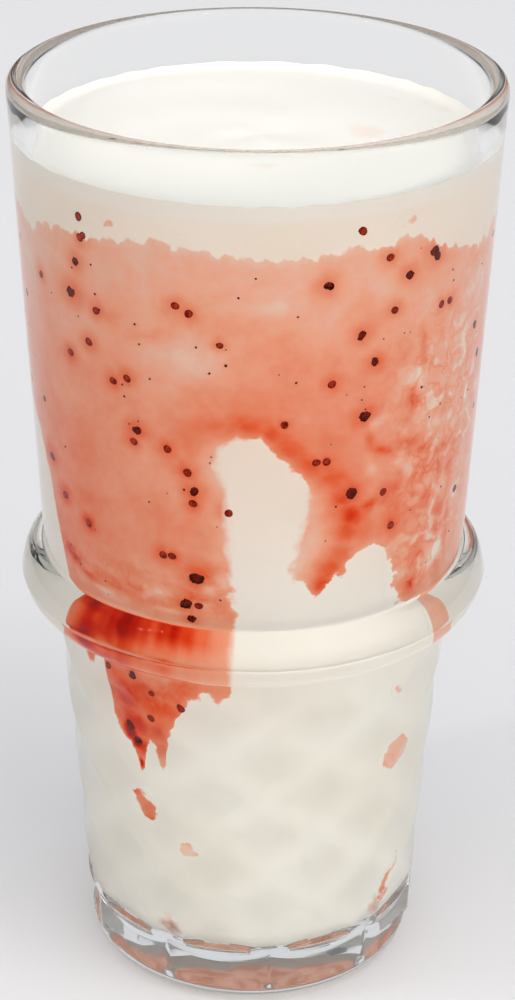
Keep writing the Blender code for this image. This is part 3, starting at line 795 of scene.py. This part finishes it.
MARBLED = (
    (49, 112, 6, 8, 1.3), (49, 97, 6, 7, 1.2), (52, 84, 6, 7, 1.3), (62, 104, 6, 18, 1.2),
    (-45, 79, 12, 3.4, 0.5), (-28, 79, 10, 3.4, 0.5), (-10, 80, 3, 4, 0.5), (-24, 60, 6, 3, 0.25),
    (150, 110, 30, 20, 0.8), (-70, 92, 6, 12, 0.4),
)
RAGGED = (
    (-30, 52, 10, 8, 1.3), (-12, 61, 7, 3, 1.2), (-52, 62, 3, 3, 0.9), (18, 83, 6, 5, 1), (40, 82, 6, 6, 1),
    (30, 87, 5, 3, 0.7), (50, 69, 8, 4, 1), (-6, 80, 2, 4, 0.9), (150, 92, 45, 20, 1),
    (-120, 92, 40, 20, 1),
)
SOFT = (
    (-5.5, 91, 2.5, 10, 2.6), (-6, 102, 4, 4, 2.4), (10, 91, 2.6, 6, 2.2), (-66, 92, 6, 12, 2.6),
    (-6, 68, 3, 6, 2), (-80, 103, 8, 6, 2), (-53, 60, 3, 5, 1.4), (-10, 61, 5, 2.4, 1.4),
    (150, 90, 40, 14, 1.6), (-130, 86, 40, 14, 1.6),
)
EDGE_RAGGED = 0.45
EDGE_SOFT = 0.45
SEED_HALO = 0.32
OVAL_FALL = 0.7
LEFT_SHADE_AS_PUREE = 0.06  # painted shade: the film is drawn thicker, so deeper, on the left below its pale top, where less light falls
LEFT_SHADE_FROM = (30, 55)
LEFT_SHADE_UP_TO = (108, 120)
PUREE_BY_HEIGHT = ((40, 0.46), (66, 0.46), (90, 0.47), (104, 0.46), (114, 0.43), (124, 0.37), (134, 0.32))
print("strokes", len(STROKES))


# %% Paint the puree's thickness
def oval(spots, seen_angle, seen_z, wide, tall, lean=0):
    """The strength of a soft oval at every spot: 1 in its middle and next to nothing outside."""
    middle = unrolled(np.array(seen_angle * SEEN_TURN), np.array(seen_z - SEEN_DROP))
    apart = spots - middle
    turn = radians(lean)
    along = apart @ np.array((cos(turn), sin(turn)))
    across = apart @ np.array((-sin(turn), cos(turn)))
    return np.exp(-OVAL_FALL * ((along / wide) ** 2 + (across / tall) ** 2))


def puree_thickness(angle, z):
    """The puree on the wall, from 0 for none to 1 for as thick as it gets."""
    spots = unrolled(angle, z)
    added = np.zeros(spots.shape[:-1])
    scraped = np.zeros(spots.shape[:-1])
    for *place, amount in STROKES:
        strength = amount * oval(spots, *place)
        added, scraped = np.maximum(added, strength), np.minimum(scraped, strength)
    for seen_angle, seen_z, length in SEEDS_IN_VIEW:
        halo = SEED_HALO * oval(spots, seen_angle, seen_z, length, length)
        added = np.maximum(added, halo)
    # painted shade: deeper puree on the left, where the wall gets less light
    left = LEFT_SHADE_AS_PUREE * smooth(-angle, *LEFT_SHADE_FROM) * (1 - smooth(z, *LEFT_SHADE_UP_TO))
    return np.interp(z, *zip(*PUREE_BY_HEIGHT)) + left + added + scraped


def strongest(angle, z, ovals, least=0.0):
    """The strongest of some ovals at each spot, and no less than this."""
    spots = unrolled(angle, z)
    strength = np.full(spots.shape[:-1], least)
    for *place, amount in ovals:
        strength = np.maximum(strength, amount * oval(spots, *place))
    return strength


def painted_values(angle, z, cover):
    """All that the shader reads from the film's points."""
    return {"cover": cover, "puree": puree_thickness(angle, z), "marble": strongest(angle, z, MARBLED),
            "ragged": strongest(angle, z, RAGGED, EDGE_RAGGED), "soft": strongest(angle, z, SOFT, EDGE_SOFT)}


# %% Seeds that show through the wall: (angle, height in mm, length in mm)
SEEDS_IN_VIEW = (
    (-43, 137.3, 1.4), (23.6, 138.1, 1.4),
    (-43, 134.2, 1.5), (-45, 130, 1.7), (-47, 125, 2.3), (-60, 125, 1.4), (-39, 123.5, 1.5),
    (-18, 127, 1.4), (-15, 126, 1.5), (-42, 118, 1.6), (-49, 115, 1.5), (-35, 113, 1.4),
    (-31, 114, 1.4), (-8, 121.5, 1.0), (16, 130.5, 1.8), (31, 133.4, 1.5), (44, 132.4, 2.2),
    (36.5, 130, 1.8), (33, 125, 1.4), (24.6, 122, 1.8), (28.6, 117.4, 1.7), (18, 115, 1.5),
    (48, 123.5, 1.4), (51, 123.5, 1.4), (27, 109, 2.3), (7, 109, 1.3), (-29, 106, 1.8),
    (-30, 104, 1.4), (-21, 104, 1.5), (-16, 100.5, 1.6), (-14.5, 97.5, 1.8),
    (-14.7, 95.5, 1.5), (-6, 94.5, 1.5), (15, 102.5, 1.4), (17.4, 102.5, 1.5),
    (24.2, 96.7, 2.3), (33.4, 95.4, 1.5), (36.5, 89.3, 1.5), (-62, 94.6, 2), (-56, 89.5, 1.6),
    (-46.5, 87, 1.6), (-23, 86, 1.5), (-20.5, 86, 1.4), (-14, 83, 2.6), (-17.5, 78, 2.4),
    (-14, 77.8, 1.5), (-16, 75.2, 1.7), (-36, 62, 1.8), (-45.5, 61.5, 1.4), (-30, 59.4, 1.3),
    (-30.5, 54.6, 1.3), (-20.8, 58, 1.4), (-38.6, 51.6, 1.7), (-36.8, 49.4, 1.9),
    (-42, 134.6, 1.3), (45.2, 131.6, 1.7),
)
print("seeds in view", len(SEEDS_IN_VIEW))

# %% [markdown]
# ### The sheet
#
# The sheet is a fine grid over the wall. Squares that lie well outside the outline are left
# out, and the rest reach a little beyond it, where the shader fades the puree to milk: that
# gives an edge as ragged as the real one. Solidify then gives the sheet its thickness.

# %% Lay the sheet on the wall
FILM_INTO_WALL = 0.12
FILM_THICK = 1.0
FILM_COLUMNS = 330
FILM_ROW = 0.75
FILM_MARGIN = 1.4


def wall_sheet(name, angles, heights, margin, painted, closed=True):
    """A grid on the wall, with what was painted on it stored on its points."""
    columns = len(angles)
    radius = bore_radius(heights) + FILM_INTO_WALL
    points = [on_axis(a, r, z) for r, z in zip(radius, heights) for a in angles]
    shown = painted["cover"] > -margin
    faces = []
    for row in range(len(heights) - 1):
        for column in range(columns if closed else columns - 1):
            beside = (column + 1) % columns
            square = ((row, column), (row, beside), (row + 1, beside), (row + 1, column))
            if any(shown[corner] for corner in square):
                faces.append([r * columns + c for r, c in square])
    mesh = bpy.data.meshes.new(name)
    mesh.from_pydata(points, [], faces)
    for title, values in painted.items():
        stored = mesh.attributes.new(title, "FLOAT", "POINT")
        stored.data.foreach_set("value", values.ravel().astype(np.float32))
    obj = placed_object(name, mesh)
    drop_loose_points(mesh)
    thicken(obj)
    return obj


# %% Clean and thicken a sheet, then make the film
def drop_loose_points(mesh):
    bm = bmesh.new()
    bm.from_mesh(mesh)
    bmesh.ops.delete(bm, geom=[v for v in bm.verts if not v.link_faces], context="VERTS")
    bmesh.ops.recalc_face_normals(bm, faces=bm.faces)
    outward = sum(f.normal.dot(Vector((f.calc_center_median().x, f.calc_center_median().y, 0)))
                  for f in bm.faces)
    if outward < 0:
        bmesh.ops.reverse_faces(bm, faces=bm.faces)
    bm.to_mesh(mesh)
    bm.free()


def thicken(obj):
    solidify = obj.modifiers.new("thickness", "SOLIDIFY")
    solidify.thickness = FILM_THICK * MM
    solidify.offset = -1
    graph = bpy.context.evaluated_depsgraph_get()
    made = bpy.data.meshes.new_from_object(obj.evaluated_get(graph))
    obj.modifiers.clear()
    obj.data = made
    made.shade_smooth()
    made.set_sharp_from_angle(angle=radians(50))


film_angles = np.arange(FILM_COLUMNS) * 360 / FILM_COLUMNS - 180
film_heights = np.array(rows(max(z for _, z in TOP_EDGE) + 1, FILM_FOOT, FILM_ROW))
grid = np.meshgrid(film_angles, film_heights)
film = wall_sheet("strawberry_film", film_angles, film_heights, FILM_MARGIN,
                  painted_values(*grid, film_cover(*grid)))
print("film faces", len(film.data.polygons))

# %% [markdown]
# ### Strawberry puree
#
# Puree is water, sugar and pulp, with an index near 1.36. Light goes through the thin smear,
# meets milk and comes back, so thin puree is milk with a pink cast, and only the thick
# places are saturated. A ramp from thickness to colour holds that. Two noises break up the
# painted strokes: clouds of about 7 mm, and pulp of about 1.6 mm.

# %% Puree material
PUREE_RAMP = (
    (0.0, "#F4E9DB"), (0.12, "#F1D8C8"), (0.25, "#F1C4B0"), (0.4, "#F3AE91"), (0.52, "#F09E7F"),
    (0.64, "#EE8A66"), (0.76, "#EC6A40"), (0.86, "#DE3F14"), (0.94, "#C81A02"), (1.0, "#A00800"),
)
PUREE_IOR = 1.36
CLOUD_DEPTH = 0.3
PULP_DEPTH = 0.16


def marbled(tree, place, level):
    """Milk worked into the puree leaves pale curls, each with a redder edge."""
    curl = add(tree, "TexNoise", place, Scale=1 / (3.2 * MM), Detail=3.5, Distortion=0.5)
    pale = add(tree, "MapRange", curl, 0.52, 0.66, 0.0, -0.32, **EASED)
    near_edge = add(tree, "Math", add(tree, "Math", curl, 0.46, operation="SUBTRACT"), operation="ABSOLUTE")
    edge = add(tree, "MapRange", near_edge, 0.0, 0.05, 0.13, 0.0, **EASED)
    change = add(tree, "Math", pale, edge, operation="ADD")
    amount = add(tree, "Attribute", attribute_name="marble").outputs["Fac"]
    return add(tree, "Math", change, amount, level, operation="MULTIPLY_ADD")


def torn_cover(tree, place):
    """How far inside the outline a spot lies, in mm, once the edge is torn by 2 mm of noise."""
    tear = add(tree, "TexNoise", place, Scale=1 / (2 * MM), Detail=5.0)
    bite = add(tree, "MapRange", tear, 0.0, 1.0, -3.0, 3.0)
    ragged = add(tree, "Attribute", attribute_name="ragged").outputs["Fac"]
    cover = add(tree, "Attribute", attribute_name="cover").outputs["Fac"]
    return add(tree, "Math", bite, ragged, cover, operation="MULTIPLY_ADD")


def puree_material():
    made, tree, place = new_material("strawberry puree, smeared on glass")
    clouds = add(tree, "TexNoise", place, Scale=1 / (7 * MM), Detail=4.0, Distortion=0.6)
    pulp = add(tree, "TexNoise", place, Scale=1 / (1.6 * MM), Detail=3.0)
    strokes = add(tree, "Attribute", attribute_name="puree").outputs["Fac"]
    level = add(tree, "Math", clouds, CLOUD_DEPTH, strokes, operation="MULTIPLY_ADD")
    level = add(tree, "Math", pulp, PULP_DEPTH, level, operation="MULTIPLY_ADD")
    level = add(tree, "Math", level, (CLOUD_DEPTH + PULP_DEPTH) / 2, operation="SUBTRACT")
    torn = torn_cover(tree, place)
    thin_edge = add(tree, "MapRange", torn, 0.2, 1.8, -0.08, 0.0, **EASED)
    shown = add(tree, "Math", marbled(tree, place, level), thin_edge, operation="ADD")
    ramp = add(tree, "ValToRGB", shown)
    stops = ramp.color_ramp.elements
    for position, _ in PUREE_RAMP[1:-1]:
        stops.new(position)
    for stop, (_, colour) in zip(stops, PUREE_RAMP):
        stop.color = linear(colour)
    soft = add(tree, "Attribute", attribute_name="soft").outputs["Fac"]
    share = add(tree, "MapRange", torn, 0.0, soft, **EASED)
    colour = add(tree, "Mix", share, milk_side_colour(tree, place), ramp, **COLOURS)
    shader = add(tree, "BsdfPrincipled", colour, Roughness=0.5, IOR=PUREE_IOR, Specular_IOR_Level=0.0)
    add(tree, "OutputMaterial", shader)
    return made


puree = puree_material()
film.data.materials.append(puree)
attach(film, "root")
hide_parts("strawberry_puree")
print("film is", puree.name)

# %% [markdown]
# ## Seeds
#
# The seeds are the dots on a strawberry: hard brown drops 1 to 2.6 mm long, blunt at one
# end. They lie flat in the puree against the glass. Each is a small sphere, stretched and
# pinched at one end, and all the seeds of a kind are joined into one mesh.

# %% Two kinds of seed: brown ones, and larger ones of a dark red brown
SEED_WIDE = 1.0
SEED_DEEP = 0.6
SEED_DEEPEST = 1.1
SEED_GROWN = 1.2  # a seed's tips are hidden in the puree, so it is longer than it shows
SEED_INTO_WALL = 0.34
DARK_FROM = 1.65  # mm: the longer seeds are the dark, ripe ones
SPECKS = 150
HIDDEN_SEEDS = 70
HIDDEN_ANGLES = (66, 292)  # degrees: the part of the wall that the photo doesn't show
HIDDEN_HEIGHTS = (72, 133)
HIDDEN_LENGTHS = (1.3, 2.2)
HIDDEN_COVER = 1.5  # mm: how far inside the film's outline they lie
SPECK_HEIGHTS = (70, 134)
SPECK_LENGTHS = (0.2, 0.42)
SPECK_COVER = 0.6


# %% The form of a seed, and many of them joined
def drop_form(sides, rings, pinch):
    """A unit sphere pinched towards its upper end, as points and faces."""
    points, faces = [(0, 0, 1)], []
    for ring in range(1, rings):
        tilt = pi * ring / rings
        slim = 1 - pinch * (1 + cos(tilt)) / 2
        points += [(slim * sin(tilt) * cos(tau * s / sides), slim * sin(tilt) * sin(tau * s / sides),
                    cos(tilt)) for s in range(sides)]
    points.append((0, 0, -1))
    last = len(points) - 1
    for side in range(sides):
        beside = (side + 1) % sides
        faces.append((0, 1 + side, 1 + beside))
        for ring in range(rings - 2):
            start = 1 + ring * sides
            faces.append((start + side, start + sides + side, start + sides + beside, start + beside))
        faces.append((last, last - sides + beside, last - sides + side))
    return points, faces


def scattered(name, places, form, wide, rng, bumpy=0.0):
    """Joins a copy of a form for each (angle, height, length), flat on the wall, in any turn."""
    unit_points, unit_faces = form
    points, faces, painted_rim_shade = [], [], []
    for angle, z, length in places:
        lay = Matrix.Rotation(radians(angle), 4, "Z") @ Matrix.Rotation(rng.uniform(0, tau), 4, "Y")
        half_deep = min(length * SEED_DEEP, SEED_DEEPEST) / 2
        size = Matrix.Diagonal((length * wide / 2, half_deep, length / 2, 1))
        radius = float(bore_radius(z)) + SEED_INTO_WALL - half_deep
        centre = Vector((radius * sin(radians(angle)), -radius * cos(radians(angle)), z))
        start = len(points)
        for point in unit_points:
            swell = 1 + bumpy * rng.uniform(-1, 1)
            points.append((centre + (lay @ size @ (Vector(point) * swell))) * MM)
            # painted shade: 0 where the seed faces out through the wall, 1 at its rim
            painted_rim_shade.append((point[0] ** 2 + point[2] ** 2) ** 0.5)
        faces += [tuple(start + i for i in face) for face in unit_faces]
    mesh = bpy.data.meshes.new(name)
    mesh.from_pydata(points, [], faces)
    mesh.shade_smooth()
    mesh.attributes.new("painted_rim_shade", "FLOAT", "POINT").data.foreach_set("value", painted_rim_shade)
    return placed_object(name, mesh)


# %% Where the photo shows none
def inside_film(angle, z, least_cover):
    """Whether a spot lies at least so many mm inside the film's outline."""
    return film_cover(np.array([angle]), np.array([z]))[0] > least_cover


def hidden_places(rng):
    """Places of seeds in the part of the film that the photo doesn't show."""
    places = []
    while len(places) < HIDDEN_SEEDS:
        angle, z = rng.uniform(*HIDDEN_ANGLES), rng.uniform(*HIDDEN_HEIGHTS)
        angle = (angle + 180) % 360 - 180
        if inside_film(angle, z, HIDDEN_COVER):
            places.append((angle, z, rng.uniform(*HIDDEN_LENGTHS)))
    return places


# %% The shell of a seed
def seed_material(name, middle, edge):
    """A seed is a hard shell in two browns, with painted shade darkening its rim, where it turns down into
    the puree.
    """
    made, tree, place = new_material(name)
    painted_rim_shade = add(tree, "Attribute", attribute_name="painted_rim_shade").outputs["Fac"]
    # painted shade: the seed darkens towards its rim
    rim = add(tree, "MapRange", painted_rim_shade, 0.25, 0.8, **EASED)
    pits = add(tree, "TexNoise", place, Scale=1 / (0.7 * MM), Detail=2.0)
    grain = add(tree, "MapRange", pits, 0.35, 0.7, **EASED)
    inner = add(tree, "Mix", grain, linear(middle), linear(edge), **COLOURS)
    colour = add(tree, "Mix", rim, inner, linear(edge), **COLOURS)
    shader = add(tree, "BsdfPrincipled", colour, Roughness=0.4, IOR=PUREE_IOR, Specular_IOR_Level=0.0)
    add(tree, "OutputMaterial", shader)
    return made


# %% Scatter the seeds and specks
rng = random.Random(12)
seen_seeds = [(a * SEEN_TURN, z - SEEN_DROP, length * SEED_GROWN) for a, z, length in SEEDS_IN_VIEW]
seed_places = seen_seeds + hidden_places(rng)
brown = [place for place in seed_places if place[2] < DARK_FROM * SEED_GROWN]
dark = [place for place in seed_places if place[2] >= DARK_FROM * SEED_GROWN]
seeds = scattered("brown_seeds", brown, drop_form(14, 10, 0.2), SEED_WIDE, rng)
seeds.data.materials.append(seed_material("strawberry seed, brown shell", "#B8381A", "#6E1206"))
dark_seeds = scattered("dark_seeds", dark, drop_form(14, 10, 0.3), SEED_WIDE, rng, 0.1)
dark_seeds.data.materials.append(seed_material("strawberry seed, ripe and dark", "#7A1808", "#3A0804"))

specks_in_view = [(-30, 122, 0.4), (-29, 119, 0.35), (-11, 116, 0.4), (-7, 117.4, 0.5), (-34, 110, 0.4),
                  (-4, 128, 0.4), (10, 125, 0.35), (0, 131, 0.35), (46, 110, 0.5), (-18, 96.6, 0.4)]
milk_specks = [(-169, 141.2, 0.7), (178, 141.2, 0.6)]
anywhere = [(rng.uniform(-180, 180), rng.uniform(*SPECK_HEIGHTS)) for _ in range(SPECKS)]
loose = [(angle, z, rng.uniform(*SPECK_LENGTHS)) for angle, z in anywhere
         if inside_film(angle, z, SPECK_COVER)]
specks = scattered("puree_specks", specks_in_view + milk_specks + loose, drop_form(6, 4, 0.0), 0.9, rng)
specks.data.materials.append(seed_material("strawberry seed, crushed to specks", "#8A2A12", "#6A1408"))
for piece in (seeds, dark_seeds, specks):
    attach(piece, "root")
    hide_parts("strawberry_puree")
print("brown seeds", len(brown), "dark seeds", len(dark))

# %% [markdown]
# ## Flecks below the film
#
# Three small patches of puree cling to the wall on their own, lower down, with a thin streak
# near the foot and a few small spots. Each is a little sheet like the film.

# %% Flecks and smears: (node it stands for, angle, height, half width, half height, lean, puree)
FLECKS = {
    "puree_fleck_left_smear": ("puree_fleck_left", -35, 36.6, 2, 2.9, 24, 0.66),
    "puree_fleck_low_smear": ("puree_fleck_low", -21, 30, 1.7, 1.3, 10, 0.26),
    "puree_fleck_right_smear": ("puree_fleck_right", 51, 44, 3.2, 2.5, 30, 0.3),
    "puree_streak_low": ("strawberry_puree", 55, 17.6, 0.8, 4, -30, 0.5),
    "puree_spot_high": ("strawberry_puree", 48, 57, 0.7, 1, 0, 0.2),
    "puree_spot_left": ("strawberry_puree", -34.2, 137.5, 0.8, 0.7, 0, 0.3),
    "puree_spot_right": ("strawberry_puree", 35.4, 138.3, 1.5, 0.8, 20, 0.3),
}
FLECK_ROOM = 1.2  # mm that its grid reaches past it; the sheet keeps half of that
FLECK_POINTS = 25
FLECK_RIM = 0.15  # a fleck dried thicker along its edge


def make_fleck(name, node, angle, height, half_wide, half_tall, lean, amount):
    middle_angle, middle_z = angle * SEEN_TURN, height - SEEN_DROP
    reach = np.degrees((half_wide + FLECK_ROOM) / bore_radius(middle_z))
    rise = half_tall + FLECK_ROOM
    angles = np.linspace(middle_angle - reach, middle_angle + reach, FLECK_POINTS)
    heights = np.linspace(middle_z + rise, middle_z - rise, FLECK_POINTS)
    a, z = np.meshgrid(angles, heights)
    across = np.radians(a - middle_angle) * bore_radius(middle_z)
    up = z - middle_z
    turn = radians(lean)
    u, v = across * cos(turn) + up * sin(turn), up * cos(turn) - across * sin(turn)
    cover = (1 - np.sqrt((u / half_wide) ** 2 + (v / half_tall) ** 2)) * min(half_wide, half_tall)
    values = painted_values(a, z, cover)
    values["puree"] = amount + FLECK_RIM * (1 - smooth(cover, 0, 1))
    piece = wall_sheet(name, angles, heights, FLECK_ROOM / 2, values, closed=False)
    piece.data.materials.append(puree)
    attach(piece, "root")
    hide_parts(node)
    return piece


for name, values in FLECKS.items():
    fleck = make_fleck(name, *values)
    print(name, "faces", len(fleck.data.polygons))
